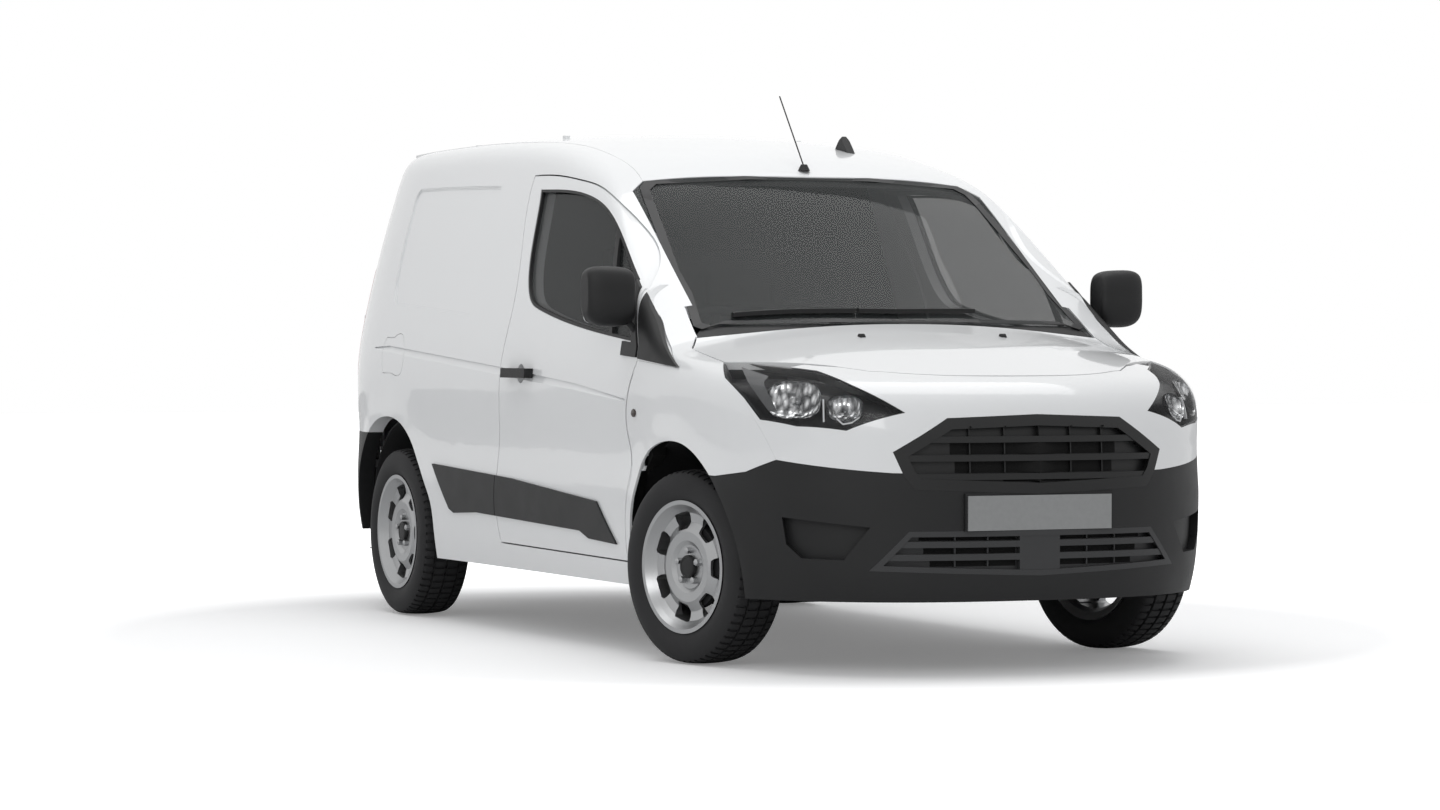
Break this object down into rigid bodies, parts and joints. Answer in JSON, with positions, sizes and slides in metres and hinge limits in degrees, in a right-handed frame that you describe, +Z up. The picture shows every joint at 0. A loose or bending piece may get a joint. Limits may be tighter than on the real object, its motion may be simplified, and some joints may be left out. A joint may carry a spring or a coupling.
{
  "type": "panel van",
  "caption": "Small white panel van with hollow cab and load space, opening front doors, rear doors and bonnet, steered front wheels and rolling wheels.",
  "frame": {"origin": "on the ground, at mid length on the centre line", "axes": "+X towards the nose, +Y to the van's left, +Z up"},
  "size_m": [4.4241, 2.1328, 1.9484],
  "materials": {
    "body_paint": "gloss white",
    "black_plastic": "grained black",
    "glass": "clear, light green tint",
    "lamp": "clear lens",
    "plate": "blank pale grey",
    "tail_lamp": "red lens",
    "tyre": "black rubber",
    "wheel_steel": "silver grey lacquer",
    "cab_plastic": "dark grey grain",
    "seat_fabric": "dark cloth",
    "underbody_paint": "dull grey",
    "chassis_paint": "satin black",
    "cast_metal": "raw casting",
    "exhaust_steel": "dull steel"
  },
  "bodies": {
    "body": {"side_right": "body_paint", "side_left": "body_paint", "sliding_door": "body_paint", "roof": "body_paint", "windscreen": "glass", "screen_seal": "black_plastic", "wing_right": "body_paint", "wing_left": "body_paint", "headlamps": "lamp", "headlamp_housings": "black_plastic", "front_panel": "body_paint", "front_bumper": "black_plastic", "number_plate": "plate", "grilles": "black_plastic", "rear_bumper": "black_plastic", "tail_lamps": "tail_lamp", "side_trims": "black_plastic", "underbody": "underbody_paint", "bulkhead": "cab_plastic", "engine": "cast_metal", "fuel_tank": "black_plastic", "exhaust": "exhaust_steel", "dashboard": "cab_plastic", "seat_driver": "seat_fabric", "seat_passenger": "seat_fabric", "roof_aerial": "black_plastic", "cowl": "black_plastic", "rear_axle": "chassis_paint", "front_subframe": "chassis_paint"},
    "door_right": {"door_right": "body_paint", "door_glass_right": "glass", "door_trim_right": "black_plastic", "mirror_right": "black_plastic"},
    "door_left": {"door_left": "body_paint", "door_glass_left": "glass", "door_trim_left": "black_plastic", "mirror_left": "black_plastic"},
    "rear_door_left": {"rear_door_left": "body_paint"},
    "rear_door_right": {"rear_door_right": "body_paint"},
    "bonnet": {"bonnet": "body_paint"},
    "steering_wheel": {"steering_wheel": "cab_plastic"},
    "knuckle_right": {"knuckle_right": "chassis_paint"},
    "knuckle_left": {"knuckle_left": "chassis_paint"},
    "wheel_front_right": {"tyre_front_right": "tyre", "rim_front_right": "wheel_steel"},
    "wheel_front_left": {"tyre_front_left": "tyre", "rim_front_left": "wheel_steel"},
    "wheel_rear_right": {"tyre_rear_right": "tyre", "rim_rear_right": "wheel_steel"},
    "wheel_rear_left": {"tyre_rear_left": "tyre", "rim_rear_left": "wheel_steel"}
  },
  "joints": [
    {"name": "door_right_hinge", "type": "hinge", "parent": "body", "child": "door_right", "pos_m": [1.075, -0.889, 0.8], "axis": [0, 0, 1], "range_deg": [0, 68]},
    {"name": "door_left_hinge", "type": "hinge", "parent": "body", "child": "door_left", "pos_m": [1.075, 0.889, 0.8], "axis": [0, 0, -1], "range_deg": [0, 68]},
    {"name": "rear_door_left_hinge", "type": "hinge", "parent": "body", "child": "rear_door_left", "pos_m": [-2.078, 0.742, 0.9], "axis": [0, 0, -1], "range_deg": [0, 170]},
    {"name": "rear_door_right_hinge", "type": "hinge", "parent": "body", "child": "rear_door_right", "pos_m": [-2.078, -0.742, 0.9], "axis": [0, 0, 1], "range_deg": [0, 170]},
    {"name": "bonnet_hinge", "type": "hinge", "parent": "body", "child": "bonnet", "pos_m": [1.222, 0, 1.09247], "axis": [0, -1, 0], "range_deg": [0, 50]},
    {"name": "steering", "type": "hinge", "parent": "body", "child": "knuckle_right", "pos_m": [1.3045, -0.68537, 0.322], "axis": [0, 0.2538, 0.9673], "range_deg": [-46, 20]},
    {"name": "steering_follow", "type": "hinge", "parent": "body", "child": "knuckle_left", "pos_m": [1.3045, 0.68537, 0.322], "axis": [0, -0.2538, 0.9673], "range_deg": [-46, 20]},
    {"name": "steering_wheel_turn", "type": "hinge", "parent": "body", "child": "steering_wheel", "pos_m": [0.5, -0.4, 1.01], "axis": [-0.8829, 0, 0.4695], "range_deg": [-650, 300]},
    {"name": "spin_front_right", "type": "hinge", "parent": "knuckle_right", "child": "wheel_front_right", "pos_m": [1.3259, -0.77806, 0.322], "axis": [-0.225, 0.9744, 0], "continuous": true},
    {"name": "spin_front_left", "type": "hinge", "parent": "knuckle_left", "child": "wheel_front_left", "pos_m": [1.2831, 0.77806, 0.322], "axis": [-0.225, 0.9744, 0], "continuous": true},
    {"name": "spin_rear_right", "type": "hinge", "parent": "body", "child": "wheel_rear_right", "pos_m": [-1.3455, -0.79, 0.322], "axis": [0, 1, 0], "continuous": true},
    {"name": "spin_rear_left", "type": "hinge", "parent": "body", "child": "wheel_rear_left", "pos_m": [-1.3455, 0.79, 0.322], "axis": [0, 1, 0], "continuous": true}
  ],
  "couplings": [
    {"joint": "steering_follow", "follows": "steering", "ratio": 1},
    {"joint": "steering_wheel_turn", "follows": "steering", "ratio": 14}
  ]
}
